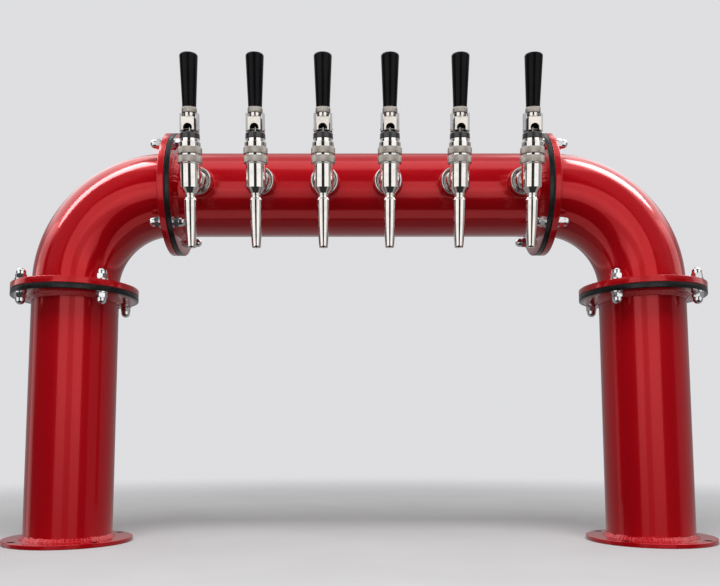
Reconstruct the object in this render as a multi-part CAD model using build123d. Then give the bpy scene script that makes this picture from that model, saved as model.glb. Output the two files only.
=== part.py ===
from build123d import *
import math
import os

# Beer tower dispenser: an arch of flanged steel pipe with six upright stout taps.
# Millimetres, +Z up, origin on the counter midway between the two columns.
# X runs along the header, the taps face -Y.

# ---------------------------------------------------------------- pipework
pipe_od = 114.3            # nominal 4 inch steel pipe
pipe_wall = 3.2
column_x = 393.5           # column axes at +-column_x
header_z = 478.5           # height of the header axis
elbow_radius = 130.0       # centre line radius of the bends
elbow_foot = 2.0           # straight foot of each bend above its lower flange
elbow_flange_t = 8.5
gasket_t = 1.5
mating_flange_t = 6.0
flange_od = 167.6
stud_pcd = 151.0           # four M8 studs at 45 degrees
stud_d = 7.9
stud_hole_d = 9.0
washer_od, washer_bore, washer_t = 16.0, 8.4, 1.6
nut_af, nut_hex_h, nut_h, nut_bore_d, nut_depth = 13.0, 6.5, 15.0, 8.0, 11.0
base_plate_t = 6.0
base_plate_od = 167.6
base_hole_d = 10.5         # four M10 clearance holes at 45 degrees
base_bore_d = 100.0        # opening for the lines
base_bead = 8.0            # leg of the foot weld
flange_bead = 5.5          # leg of the flange welds

# ---------------------------------------------------------------- tap placement
tap_x = (-212.5, -130.5, -46.0, 37.5, 125.0, 216.0)
tap_lean = 9.0             # tops of the taps lean forward, shanks slope down outward
shank_y, shank_z = -56.5, 477.0   # where each shank line meets the front of the header
tap_reach = 60.0           # from there to the axis of the tap, along the shank

# heights on the tap axis, measured from the shank line
tip_h, spout_mid_h, spout_top_h, spout_neck_h = -91.5, -60.0, -32.4, -29.6
body_low_h, cone_low_h, cone_top_h, body_top_h = -24.8, -24.2, -17.3, 11.2
ring_low_h, ring_top_h, ring_collar_h = 12.9, 21.2, 24.0
knurl_top_h, bonnet_step_h, bonnet_top_h = 32.0, 38.4, 42.5
bearing_top_h = 50.7
pin_h = 55.4
block_top_h = 68.3
cheek_top_h = 74.2
neck_top_h = 74.5
ferrule_top_h = 81.5
handle_shoulder_h, handle_top_h = 143.6, 147.8

body_r, knurl_r, bonnet_r, bonnet_top_r = 12.5, 15.05, 13.7, 12.2
knurl_edge = 0.35
chamber_r = 8.0
stem_r = 2.0
stem_bore_r = 2.05
pin_r, pin_bore_r = 1.5, 1.55
shank_r, shank_hole_r = 11.0, 11.15
boss_r = 18.8
escutcheon_r = 18.0

# lever cam: the contact keeps a constant forward offset, so the lift is linear
cam_offset = 8.5
cam_drop = 4.4             # lever bottom below the pin (0.3 above the bearing ring)
lever_range_deg = 28.0

# beer lines
line_od, line_id = 9.5, 6.35
lane_y = (12.0, 26.0, 40.0)        # outermost tap first
lane_bend = (29.0, 43.0, 57.0)

pipe_r = pipe_od / 2
pipe_ir = pipe_r - pipe_wall
lean = math.radians(tap_lean)
tap_y = shank_y - tap_reach * math.cos(lean)
tap_z = shank_z - tap_reach * math.sin(lean)
stud_r = stud_pcd / 2
joint_z = header_z - elbow_radius - elbow_foot - elbow_flange_t     # gasket face, column
joint_x = column_x - elbow_radius - elbow_flange_t                  # gasket face, header
column_top = joint_z - gasket_t - mating_flange_t
header_end = joint_x - gasket_t - mating_flange_t

os.makedirs("parts", exist_ok=True)
nodes = {}


def keep(name, *solids):
    flat = []
    for s in solids:
        flat.extend(s.solids())
    nodes[name] = flat


def outline(plane, start, *steps):
    """Closed face from straight steps (x, y) and arcs ((through), (end))."""
    edges, p = [], start
    for s in steps:
        if isinstance(s[0], tuple):
            edges.append(plane * ThreePointArc(p, s[0], s[1]))
            p = s[1]
        else:
            edges.append(plane * Line(p, s))
            p = s
    if p != start:
        edges.append(plane * Line(p, start))
    return make_face(edges)


def turned(start, *steps):
    """Solid of revolution about Z from an (r, z) outline."""
    return revolve(outline(Plane.XZ, start, *steps), Axis.Z, 360)


def turned_y(start, *steps):
    """Solid of revolution about Y from an (r, y) outline."""
    return revolve(outline(Plane.XY, start, *steps), Axis.Y, 360)


def tube(r_out, r_in, z0, z1):
    return turned((r_in, z0), (r_out, z0), (r_out, z1), (r_in, z1))


def rod(r, z0, z1):
    return Pos(0, 0, z0) * Cylinder(r, z1 - z0, align=(Align.CENTER, Align.CENTER, Align.MIN))


def rod_y(r, y0, y1):
    return Pos(0, y0, 0) * Rot(-90, 0, 0) * Cylinder(r, y1 - y0, align=(Align.CENTER, Align.CENTER, Align.MIN))


def at_45(shape, radius):
    return [Rot(0, 0, 45 + 90 * k) * Pos(radius, 0, 0) * shape for k in range(4)]


def chamfered_disc(r, z0, z1, c):
    return turned((0, z0), (r - c, z0), (r, z0 + c), (r, z1 - c), (r - c, z1), (0, z1))


def flange(t, edge=0.6):
    plate = chamfered_disc(flange_od / 2, 0, t, edge) - rod(pipe_ir, -1, t + 1)
    for h in at_45(rod(stud_hole_d / 2, -1, t + 1), stud_r):
        plate -= h
    return plate


def right(shape):
    return shape.mirror(Plane.YZ)


# ================================================================ columns and feet
plate = chamfered_disc(base_plate_od / 2, 0, base_plate_t, 0.8) - rod(base_bore_d / 2, -1, base_plate_t + 1)
for h in at_45(rod(base_hole_d / 2, -1, base_plate_t + 1), stud_r):
    plate -= h
left_plate = Pos(-column_x, 0, 0) * plate
keep("left_base_plate", left_plate)
keep("right_base_plate", right(left_plate))

left_column = Pos(-column_x, 0, 0) * tube(pipe_r, pipe_ir, base_plate_t, column_top)
keep("left_column_pipe", left_column)
keep("right_column_pipe", right(left_column))


def bead(leg, clear=0.0):
    """Weld fillet round a pipe standing on a face at z = 0."""
    k = leg * 0.62
    return turned((pipe_r + clear, 0), (pipe_r + leg, 0), ((pipe_r + k, k), (pipe_r + clear, leg)))


foot_bead = Pos(-column_x, 0, base_plate_t) * bead(base_bead)
keep("base_weld_beads", foot_bead, right(foot_bead))

mating = flange(mating_flange_t)
left_column_flange = Pos(-column_x, 0, column_top) * mating
keep("left_column_flange", left_column_flange)
keep("right_column_flange", right(left_column_flange))

# ================================================================ elbows
bend_x, bend_z = -column_x + elbow_radius, header_z - elbow_radius
section = Plane((bend_x, 0, header_z), x_dir=(0, 1, 0), z_dir=(1, 0, 0)) * (Circle(pipe_r) - Circle(pipe_ir))
left_elbow = revolve(section, Axis((bend_x, 0, bend_z), (0, -1, 0)), 90)
left_elbow += Pos(-column_x, 0, 0) * tube(pipe_r, pipe_ir, bend_z - elbow_foot, bend_z)
keep("left_elbow", left_elbow)
keep("right_elbow", right(left_elbow))

thick = flange(elbow_flange_t)
lower = Pos(-column_x, 0, joint_z) * thick
keep("left_elbow_lower_flange", lower)
keep("right_elbow_lower_flange", right(lower))
upper = Pos(-joint_x, 0, header_z) * Rot(0, -90, 0) * thick
keep("left_elbow_upper_flange", upper)
keep("right_elbow_upper_flange", right(upper))

gasket = tube(flange_od / 2 - 0.4, pipe_ir, 0, gasket_t)
for h in at_45(rod(stud_hole_d / 2, -1, gasket_t + 1), stud_r):
    gasket -= h
g1 = Pos(-column_x, 0, joint_z - gasket_t) * gasket
g2 = Pos(-joint_x, 0, header_z) * Rot(0, 90, 0) * gasket
keep("flange_gaskets", g1, g2, right(g1), right(g2))

# ================================================================ header
left_header_flange = Pos(-header_end, 0, header_z) * Rot(0, -90, 0) * mating
keep("left_header_flange", left_header_flange)
keep("right_header_flange", right(left_header_flange))

tap_at = [Location((x, tap_y, tap_z), (tap_lean, 0, 0)) for x in tap_x]

header_solid = Pos(0, 0, header_z) * Rot(0, 90, 0) * Cylinder(pipe_r, 2 * header_end)
header_void = Pos(0, 0, header_z) * Rot(0, 90, 0) * Cylinder(pipe_ir, 2 * header_end + 2)
header = header_solid - header_void
for loc in tap_at:
    header -= loc * rod_y(shank_hole_r, tap_reach - 12, tap_reach + 14)
keep("header_pipe", header)

# welds behind the flanges: header ends, column tops and both ends of each elbow
b_head = Pos(-header_end, 0, header_z) * Rot(0, 90, 0) * bead(flange_bead)
b_col = Pos(-column_x, 0, column_top) * Rot(180, 0, 0) * bead(flange_bead)
b_low = Pos(-column_x, 0, joint_z + elbow_flange_t) * bead(flange_bead, 0.25)
b_up = Pos(-joint_x - elbow_flange_t, 0, header_z) * Rot(0, -90, 0) * bead(flange_bead, 0.25)
beads = []
for b in (b_head, b_col, b_low, b_up):
    beads += [b, right(b)]
keep("flange_weld_beads", *beads)

# ================================================================ flange fastenings
stack = elbow_flange_t + gasket_t + mating_flange_t
stud_len = stack + 2 * washer_t + 2 * (nut_depth - 1.0)


def cap_nut():
    body = extrude(RegularPolygon(nut_af / 2, 6, major_radius=False), nut_hex_h)
    body = body & turned((0, 0), (6.3, 0), (7.6, 0.9), (7.6, nut_hex_h - 0.9), (6.3, nut_hex_h), (0, nut_hex_h))
    dome_r = 6.2
    flat = nut_h - dome_r
    dome = turned((0, nut_hex_h - 0.5), (dome_r, nut_hex_h - 0.5), (dome_r, flat),
                  ((dome_r * math.sin(math.pi / 4), flat + dome_r * math.cos(math.pi / 4)), (0, nut_h)))
    return body + dome - rod(nut_bore_d / 2, -1, nut_depth)


washer = tube(washer_od / 2, washer_bore / 2, 0, washer_t)
nut = cap_nut()
stud = rod(stud_d / 2, -(stud_len - stack) / 2, stack + (stud_len - stack) / 2)
joint_frames = [
    Location((-column_x, 0, column_top)),
    Location((column_x, 0, column_top)),
    Pos(-header_end, 0, header_z) * Rot(0, -90, 0),
    Pos(header_end, 0, header_z) * Rot(0, 90, 0),
]
studs, washers, nuts = [], [], []
for f in joint_frames:
    for k in range(4):
        spot = f * Rot(0, 0, 45 + 90 * k) * Pos(stud_r, 0, 0)
        studs.append(spot * stud)
        washers.append(spot * Pos(0, 0, -washer_t) * washer)
        washers.append(spot * Pos(0, 0, stack) * washer)
        nuts.append(spot * Pos(0, 0, stack + washer_t) * Rot(0, 0, 13 * k) * nut)
        nuts.append(spot * Pos(0, 0, -washer_t) * Rot(180, 0, 17 * k) * nut)
keep("flange_studs", *studs)
keep("flange_washers", *washers)
keep("flange_cap_nuts", *nuts)

# ================================================================ shanks
boss_front, disc_front, dome_front = 43.0, 39.6, 31.0
header_axis_local = Location((0, tap_y, tap_z), (tap_lean, 0, 0)).inverse() * Location((0, 0, header_z))
hy, hz = header_axis_local.position.Y, header_axis_local.position.Z
drum_out = Pos(0, hy, hz) * Rot(0, 90, 0) * Cylinder(pipe_r, 80)
drum_in = Pos(0, hy, hz) * Rot(0, 90, 0) * Cylinder(pipe_ir, 80)

boss = (rod_y(boss_r, boss_front, 68.0) - rod_y(shank_hole_r, 40, 70)) - drum_out
boss = max(boss.solids(), key=lambda s: s.volume)
keep("shank_bosses", *[loc * boss for loc in tap_at])

escutcheon = turned_y(
    (shank_r + 0.05, boss_front), (escutcheon_r - 0.6, boss_front), (escutcheon_r, boss_front - 0.6),
    ((escutcheon_r - 0.25, disc_front + 0.55), (escutcheon_r - 1.2, disc_front)),
    (14.9, disc_front), ((14.5, disc_front + 0.55), (14.1, disc_front)),
    ((13.2, disc_front - 3.6), (11.6, dome_front)),
    (shank_r + 0.05, dome_front))
keep("shank_escutcheons", *[loc * escutcheon for loc in tap_at])

neck_y = 16.0              # the body's rear neck meets the shank collar here
lock_y0, lock_y1, shank_end, tail_end = 70.0, 77.0, 82.0, 98.0
shank = turned_y(
    (4.0, 10.2), (6.0, 10.2), (6.0, neck_y), (shank_r, neck_y), (shank_r, shank_end - 1),
    (shank_r - 1, shank_end), (3.1, shank_end), (3.1, tail_end), (2.2, tail_end), (2.2, shank_end - 2), (4.0, shank_end - 2))
keep("faucet_shanks", *[loc * shank for loc in tap_at])

saddle = (rod_y(16.0, 58, lock_y0) & drum_in) - rod_y(shank_hole_r, 50, 75)
saddle = max(saddle.solids(), key=lambda s: s.volume)
keep("shank_saddle_washers", *[loc * saddle for loc in tap_at])

lock = Pos(0, lock_y0, 0) * Rot(-90, 0, 0) * extrude(RegularPolygon(15.0, 6, major_radius=False), lock_y1 - lock_y0)
lock -= rod_y(shank_r + 0.05, 60, 90)
keep("shank_lock_nuts", *[loc * lock for loc in tap_at])


# ================================================================ beer lines
def rounded_path(points, radii):
    pts = [Vector(*p) for p in points]
    edges, here = [], pts[0]
    for i, r in enumerate(radii, start=1):
        d1 = (pts[i] - pts[i - 1]).normalized()
        d2 = (pts[i + 1] - pts[i]).normalized()
        turn = math.acos(max(-1, min(1, d1.dot(d2))))
        cut = r * math.tan(turn / 2)
        a, b = pts[i] - d1 * cut, pts[i] + d2 * cut
        inward = (d2 - d1).normalized()
        mid = pts[i] + inward * (r / math.cos(turn / 2) - r)
        edges.append(Line(here, a))
        edges.append(ThreePointArc(a, mid, b))
        here = b
    edges.append(Line(here, pts[-1]))
    return Wire(edges)


def beer_line(x, side, lane):
    def on_shank(u):
        return (x, tap_y + u * math.cos(lean), tap_z + u * math.sin(lean))
    y_lane = lane_y[lane]
    z_lane = tap_z + (y_lane - tap_y) * math.tan(lean)
    bend = z_lane - bend_z
    x_col = side * (abs(bend_x) + bend)
    path = rounded_path([on_shank(shank_end + 0.5), (x, y_lane, z_lane), (x_col, y_lane, z_lane), (x_col, y_lane, 1.0)],
                        [lane_bend[lane], bend])
    start = Plane(on_shank(shank_end + 0.5), z_dir=(0, math.cos(lean), math.sin(lean)))
    ring = start * (Circle(line_od / 2) - Circle(line_id / 2))
    hose = sweep(ring, path=path)
    area = math.pi * (line_od ** 2 - line_id ** 2) / 4
    print("beer line at x %.1f: length %.0f mm, bends %.0f and %.0f mm, volume/section %.1f mm"
          % (x, path.length, lane_bend[lane], bend, hose.volume / area))
    return hose


keep("beer_lines",
     beer_line(tap_x[0], -1, 0), beer_line(tap_x[1], -1, 1), beer_line(tap_x[2], -1, 2),
     beer_line(tap_x[3], 1, 2), beer_line(tap_x[4], 1, 1), beer_line(tap_x[5], 1, 0))

# ================================================================ tap bodies
body = turned((0, body_low_h), (7.5, body_low_h), (7.5, cone_low_h), (body_r, cone_top_h), (body_r, body_top_h),
              (13.75, ring_low_h - 0.9), (13.75, ring_low_h), (12.0, ring_low_h), (12.0, ring_collar_h), (0, ring_collar_h))
body += rod_y(shank_r, 0, neck_y)
body -= rod(10.0, 15.0, ring_collar_h + 1)
body -= rod(chamber_r, -15.5, 16.0)
body -= rod(4.0, -18.0, -15.0)
body -= rod(5.45, body_low_h - 1, -17.5)
body -= rod_y(4.0, 0, neck_y + 1)
body -= rod_y(6.05, 10.0, neck_y + 1)
keep("faucet_bodies", *[loc * body for loc in tap_at])

lock_ring = turned((12.05, ring_low_h), (knurl_r - knurl_edge, ring_low_h), (knurl_r, ring_low_h + knurl_edge),
                   (knurl_r, ring_top_h - knurl_edge), (knurl_r - knurl_edge, ring_top_h), (13.4, ring_top_h),
                   (13.4, ring_collar_h), (12.05, ring_collar_h))
keep("body_lock_rings", *[loc * lock_ring for loc in tap_at])

bonnet = turned((stem_bore_r, 15.2), (9.95, 15.2), (9.95, ring_collar_h), (knurl_r - knurl_edge, ring_collar_h),
                (knurl_r, ring_collar_h + knurl_edge), (knurl_r, knurl_top_h - knurl_edge), (knurl_r - knurl_edge, knurl_top_h),
                (bonnet_r, knurl_top_h), (bonnet_r, bonnet_step_h - 0.4), (bonnet_r - 0.4, bonnet_step_h),
                (bonnet_top_r, bonnet_step_h), (bonnet_top_r, bonnet_top_h), (stem_bore_r, bonnet_top_h))
bonnet -= rod(5.0, 14.0, 23.0)
keep("faucet_bonnets", *[loc * bonnet for loc in tap_at])

packing = tube(4.95, stem_bore_r, 16.5, 22.8)
keep("stem_packings", *[loc * packing for loc in tap_at])

bearing = turned((2.5, bonnet_top_h), (12.2, bonnet_top_h), (12.6, bonnet_top_h + 0.6), (12.4, bearing_top_h - 1.6),
                 (11.5, bearing_top_h), (2.5, bearing_top_h))
keep("lever_bearing_rings", *[loc * bearing for loc in tap_at])

seat = turned((3.6, -15.5), (7.95, -15.5), (7.95, -13.3), (5.6, -13.3), (3.6, -14.6))
keep("valve_seat_rings", *[loc * seat for loc in tap_at])

spout = turned((3.9, tip_h), (5.1, tip_h), (5.4, tip_h + 0.4), (7.55, spout_mid_h),
               (8.35, spout_top_h - 0.8), ((8.15, spout_top_h + 0.5), (7.3, spout_top_h + 1.3)),
               (6.5, spout_neck_h + 0.6), (6.5, body_low_h - 2.0), (6.9, body_low_h - 1.6), (6.9, body_low_h), (5.4, body_low_h), (5.4, -18.0), (3.9, -18.0))
spout -= rod(4.4, -19.6, -17.0)
keep("faucet_nozzles", *[loc * spout for loc in tap_at])

restrictor = rod(4.35, -19.6, -18.3)
restrictor -= rod(0.6, -21, -17)
for k in range(4):
    restrictor -= Rot(0, 0, 90 * k) * Pos(2.4, 0, 0) * rod(0.6, -21, -17)
keep("nozzle_restrictors", *[loc * restrictor for loc in tap_at])

# ================================================================ moving parts of one tap
stem = turned((0, -13.0), (3.4, -13.0), (6.4, -11.2), (6.4, -9.2), (3.2, -8.4), (stem_r, -7.2), (stem_r, pin_h + 2.0),
              (stem_r - 0.6, pin_h + 2.8), (0, pin_h + 2.8))
stem += Pos(0, 0, pin_h) * Rot(0, 90, 0) * Cylinder(pin_r, 24.4)


def cam_point(phi):
    drop = cam_drop + cam_offset * phi
    return (-cam_offset * math.cos(phi) - drop * math.sin(phi),
            cam_offset * math.sin(phi) - drop * math.cos(phi))


phi_max = math.radians(lever_range_deg)
cam_a, cam_m, cam_b = cam_point(0), cam_point(phi_max / 2), cam_point(phi_max)
block_h = block_top_h - pin_h
front, back = -12.2, 8.5
side_face = outline(Plane.YZ, cam_a, (cam_m, cam_b), (front, cam_b[1] + 0.25), (front, block_h - 1.0), (front + 1.0, block_h),
                    (back - 1.5, block_h), (back, block_h - 1.5), (back, -2.4), (back - 2.0, -cam_drop))
lever = extrude(side_face, 7.75, both=True)
# arch in the front, blind at the back
arch_r, arch_z = 5.5, -0.8
arch = Pos(0, 0, arch_z) * rod_y(arch_r, front - 1, 5.0)
arch += Pos(0, (front - 1 + 5.0) / 2, arch_z - 4) * Box(2 * arch_r, 5.0 - (front - 1), 8.0)
lever -= arch
# round neck above the block, with the stud for the handle
lever += Pos(0, 0, -pin_h) * turned((0, block_top_h - 1), (5.0, block_top_h - 1), (5.0, block_top_h), ((6.75, block_top_h + 1.9), (7.4, block_top_h + 4.0)),
                                    (7.4, neck_top_h), (4.0, neck_top_h), (4.0, 99.5), (3.5, 100.0), (0, 100.0))
# cheeks outside the block, joined to it low down
cheek_h = cheek_top_h - pin_h
for s in (-1, 1):
    lever += Pos(s * 10.15, 0, (cheek_h - 3.4) / 2) * Box(2.9, 9.0, cheek_h + 3.4)
    lever += Pos(s * 8.2, 0, 1.55) * Box(1.2, 7.0, 9.9)
lever -= Rot(0, 90, 0) * Cylinder(pin_bore_r, 40)
lever = Pos(0, 0, pin_h) * lever

ferrule = turned((4.05, neck_top_h), (8.75, neck_top_h), (9.35, neck_top_h + 0.6), (9.35, ferrule_top_h - 0.6),
                 (8.75, ferrule_top_h), (4.05, ferrule_top_h))

crown_r = (8.2 ** 2 + 0.8 ** 2) / 1.6
grip = turned((0, ferrule_top_h), (8.25, ferrule_top_h), (8.58, ferrule_top_h + 0.6), (11.3, handle_shoulder_h),
              ((10.55, handle_shoulder_h + 2.4), (8.2, handle_top_h - 0.8)),
              ((4.1, handle_top_h - crown_r + math.sqrt(crown_r ** 2 - 4.1 ** 2)), (0, handle_top_h)))
grip -= rod(4.05, ferrule_top_h - 1, 101.0)

for n, loc in enumerate(tap_at, start=1):
    keep("valve_stem_%d" % n, loc * stem)
    keep("tap_lever_%d" % n, loc * lever)
    keep("lever_ferrule_%d" % n, loc * ferrule)
    keep("tap_handle_%d" % n, loc * grip)

# ================================================================ write the parts
for name, solids in nodes.items():
    whole = solids[0] if len(solids) == 1 else Compound(solids)
    export_step(whole, os.path.join("parts", name + ".step"))
box = Compound([s for group in nodes.values() for s in group]).bounding_box()
print("%d nodes, %d solids" % (len(nodes), sum(len(g) for g in nodes.values())))
print("box", box.min, box.max)
print("lever pin at y %.3f z %.3f mm, slide axis (0, %.6f, %.6f), lift %.3f mm"
      % (tap_y - pin_h * math.sin(lean), tap_z + pin_h * math.cos(lean), -math.sin(lean), math.cos(lean), cam_offset * phi_max))
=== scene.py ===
import bpy
import math
from mathutils import Matrix, Vector, noise


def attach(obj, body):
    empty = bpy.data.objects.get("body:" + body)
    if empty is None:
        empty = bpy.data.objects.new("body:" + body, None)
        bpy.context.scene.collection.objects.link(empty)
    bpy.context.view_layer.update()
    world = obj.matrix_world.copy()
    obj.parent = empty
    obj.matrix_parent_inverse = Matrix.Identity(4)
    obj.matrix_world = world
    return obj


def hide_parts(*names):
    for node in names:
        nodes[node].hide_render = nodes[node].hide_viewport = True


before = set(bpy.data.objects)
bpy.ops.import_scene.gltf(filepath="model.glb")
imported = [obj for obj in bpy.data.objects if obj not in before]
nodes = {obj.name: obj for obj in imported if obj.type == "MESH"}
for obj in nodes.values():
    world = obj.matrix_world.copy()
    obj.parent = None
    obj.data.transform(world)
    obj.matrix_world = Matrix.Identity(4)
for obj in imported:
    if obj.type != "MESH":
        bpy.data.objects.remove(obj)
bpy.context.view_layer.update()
scene = bpy.context.scene
MM = 0.001

# ------------------------------------------------------------------ dimensions, mm
pipe_r, flange_r = 57.15, 83.8
column_x, header_z = 393.5, 478.5
base_t, base_hole_r = 6.0, 75.5
joint_z, joint_x = 338.0, 255.0
mating_t, gasket_t, elbow_t = 6.0, 1.5, 8.5
column_top = joint_z - gasket_t - mating_t
header_end = joint_x - gasket_t - mating_t
stud_r = 75.5
tap_x = (-212.5, -130.5, -46.0, 37.5, 125.0, 216.0)
lean = math.radians(9.0)
tap_y = -56.5 - 60.0 * math.cos(lean)
tap_z = 477.0 - 60.0 * math.sin(lean)
TAP = [Matrix.Translation((x * MM, tap_y * MM, tap_z * MM)) @ Matrix.Rotation(lean, 4, "X") for x in tap_x]
# header axis seen from a tap's own frame
_h = (Matrix.Rotation(lean, 4, "X")).inverted() @ Vector((0.0, -tap_y, header_z - tap_z))
head_y, head_z = _h.y, _h.z


# ------------------------------------------------------------------ materials
def new_mat(name):
    m = bpy.data.materials.new(name)
    m.use_nodes = True
    nt = m.node_tree
    nt.nodes.clear()
    out = nt.nodes.new("ShaderNodeOutputMaterial")
    bsdf = nt.nodes.new("ShaderNodeBsdfPrincipled")
    nt.links.new(bsdf.outputs["BSDF"], out.inputs["Surface"])
    return m, nt, bsdf, out


def node(nt, kind, **props):
    n = nt.nodes.new(kind)
    for k, v in props.items():
        setattr(n, k, v)
    return n


def coords(nt, scale=(1.0, 1.0, 1.0)):
    tc = node(nt, "ShaderNodeTexCoord")
    mp = node(nt, "ShaderNodeMapping")
    mp.inputs["Scale"].default_value = scale
    nt.links.new(tc.outputs["Object"], mp.inputs["Vector"])
    return mp.outputs["Vector"]


def noise_tex(nt, vec, scale, detail=3.0, rough=0.5, distortion=0.0):
    n = node(nt, "ShaderNodeTexNoise")
    n.inputs["Scale"].default_value = scale
    n.inputs["Detail"].default_value = detail
    n.inputs["Roughness"].default_value = rough
    n.inputs["Distortion"].default_value = distortion
    nt.links.new(vec, n.inputs["Vector"])
    return n.outputs["Fac"]


def ramp(nt, fac, stops):
    r = node(nt, "ShaderNodeValToRGB")
    r.color_ramp.interpolation = "EASE"
    while len(r.color_ramp.elements) < len(stops):
        r.color_ramp.elements.new(0.5)
    for e, (pos, col) in zip(r.color_ramp.elements, stops):
        e.position = pos
        e.color = (*col, 1.0) if len(col) == 3 else col
    nt.links.new(fac, r.inputs["Fac"])
    return r.outputs["Color"]


def remap(nt, fac, lo, hi, a=0.0, b=1.0, smooth=False):
    m = node(nt, "ShaderNodeMapRange")
    m.interpolation_type = "SMOOTHSTEP" if smooth else "LINEAR"
    m.inputs["From Min"].default_value = lo
    m.inputs["From Max"].default_value = hi
    m.inputs["To Min"].default_value = a
    m.inputs["To Max"].default_value = b
    nt.links.new(fac, m.inputs["Value"])
    return m.outputs["Result"]


def math_node(nt, op, a, b=None):
    m = node(nt, "ShaderNodeMath", operation=op)
    for i, v in enumerate((a, b)):
        if v is None:
            continue
        if isinstance(v, (int, float)):
            m.inputs[i].default_value = v
        else:
            nt.links.new(v, m.inputs[i])
    return m.outputs[0]


def mix_color(nt, fac, a, b, blend="MIX"):
    m = node(nt, "ShaderNodeMix", data_type="RGBA", blend_type=blend)
    if isinstance(fac, (int, float)):
        m.inputs[0].default_value = fac
    else:
        nt.links.new(fac, m.inputs[0])
    for sock, v in ((m.inputs[6], a), (m.inputs[7], b)):
        if isinstance(v, tuple):
            sock.default_value = (*v, 1.0)
        else:
            nt.links.new(v, sock)
    return m.outputs[2]


def bump(nt, bsdf, heights, socket="Normal"):
    """heights is a list of (height, strength, distance in metres), chained."""
    prev = None
    for h, strength, dist in heights:
        b = node(nt, "ShaderNodeBump")
        b.inputs["Strength"].default_value = strength
        b.inputs["Distance"].default_value = dist
        nt.links.new(h, b.inputs["Height"])
        if prev is not None:
            nt.links.new(prev, b.inputs["Normal"])
        prev = b.outputs["Normal"]
    nt.links.new(prev, bsdf.inputs[socket])
    return prev


RED = (0.430, 0.0022, 0.0070)
RED_DEEP = (0.330, 0.0012, 0.0045)
RED_LIGHT = (0.500, 0.0050, 0.0110)
BLACK = (0.0075, 0.0075, 0.0080)
TINT = (1.0, 0.06, 0.07)


def red_paint(name, grain=(1.0, 1.0, 1.0), rim=None, holes=None, coat=0.38, gloss=1.0):
    """Glossy enamel over steel. rim = (axis, centre, radius, width) turns it black outside that radius.
    holes = (x of the plate, offset of its four holes) paints near-black shade inside them, with no coat."""
    m, nt, b, out = new_mat(name)
    v = coords(nt, grain)
    plain = coords(nt)
    cloud = noise_tex(nt, v, 7.0, 4.0, 0.55)
    colour = ramp(nt, cloud, [(0.25, RED_DEEP), (0.5, RED), (0.78, RED_LIGHT)])
    speck = noise_tex(nt, plain, 900.0, 1.0, 0.5)
    dust = remap(nt, speck, 0.72, 0.80)
    colour = mix_color(nt, math_node(nt, "MULTIPLY", dust, 0.25), colour, (0.56, 0.06, 0.06))
    grime = noise_tex(nt, plain, 38.0, 5.0, 0.6)
    colour = mix_color(nt, remap(nt, grime, 0.58, 0.80, 0.0, 0.22), colour, (0.21, 0.0012, 0.004))
    rough = remap(nt, noise_tex(nt, v, 22.0, 4.0, 0.6), 0.3, 0.7, 0.15 * gloss, 0.26 * gloss)
    if rim:
        axis, centre, radius, width = rim
        tc = node(nt, "ShaderNodeTexCoord")
        sep = node(nt, "ShaderNodeSeparateXYZ")
        nt.links.new(tc.outputs["Object"], sep.inputs[0])
        parts = {"X": (("Y", centre[1]), ("Z", centre[2])), "Z": (("X", centre[0]), ("Y", centre[1]))}[axis]
        squares = []
        for name_, c in parts:
            d = math_node(nt, "SUBTRACT", sep.outputs[name_], c)
            squares.append(math_node(nt, "MULTIPLY", d, d))
        rad = math_node(nt, "SQRT", math_node(nt, "ADD", squares[0], squares[1]))
        ragged = math_node(nt, "MULTIPLY", math_node(nt, "SUBTRACT", noise_tex(nt, plain, 160.0, 3.0, 0.6), 0.5), width * 0.8)
        mask = remap(nt, math_node(nt, "ADD", rad, ragged), radius - width / 2, radius + width / 2, smooth=True)
        worn = ramp(nt, noise_tex(nt, plain, 60.0, 4.0, 0.6), [(0.35, BLACK), (0.8, (0.020, 0.020, 0.021))])
        colour = mix_color(nt, mask, colour, worn)
        tint = mix_color(nt, mask, TINT, (0.06, 0.06, 0.06))
        nt.links.new(remap(nt, mask, 0.0, 1.0, 0.38, 0.12), b.inputs["Coat Weight"])
    b.inputs["IOR"].default_value = 1.7
    b.inputs["Specular IOR Level"].default_value = 0.9
    b.inputs["Specular Tint"].default_value = (*TINT, 1.0)
    b.inputs["Coat Weight"].default_value = coat
    if holes:
        cx, off = holes
        tc = node(nt, "ShaderNodeTexCoord")
        sep = node(nt, "ShaderNodeSeparateXYZ")
        nt.links.new(tc.outputs["Object"], sep.inputs[0])
        squares = []
        for part, c in (("X", cx), ("Y", 0.0)):
            d = math_node(nt, "ABSOLUTE", math_node(nt, "SUBTRACT", sep.outputs[part], c))
            d = math_node(nt, "SUBTRACT", d, off)
            squares.append(math_node(nt, "MULTIPLY", d, d))
        rad = math_node(nt, "SQRT", math_node(nt, "ADD", squares[0], squares[1]))
        rad = math_node(nt, "ADD", rad, math_node(nt, "MULTIPLY", math_node(nt, "SUBTRACT", noise_tex(nt, plain, 400.0, 3.0, 0.6), 0.5), 0.0008))
        mask = remap(nt, rad, 0.0054, 0.0059, 1.0, 0.0, smooth=True)
        # painted shade: near-black colour and no coat inside the open bolt holes, where shade falls
        colour = mix_color(nt, mask, colour, (0.006, 0.005, 0.005))
        tint = mix_color(nt, mask, TINT, (0.04, 0.04, 0.04))
        nt.links.new(remap(nt, mask, 0.0, 1.0, 0.38, 0.0), b.inputs["Coat Weight"])
    nt.links.new(colour, b.inputs["Base Color"])
    nt.links.new(rough, b.inputs["Roughness"])
    if rim or holes:
        nt.links.new(tint, b.inputs["Specular Tint"])
    b.inputs["Coat Roughness"].default_value = 0.055
    b.inputs["Coat IOR"].default_value = 1.5
    peel = noise_tex(nt, plain, 420.0, 2.0, 0.5)
    wave = noise_tex(nt, v, 26.0, 2.0, 0.5)
    heights = [(wave, 0.10, 0.0012), (peel, 0.045, 0.0003)]
    last = bump(nt, b, heights)
    nt.links.new(last, b.inputs["Coat Normal"])
    return m


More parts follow.
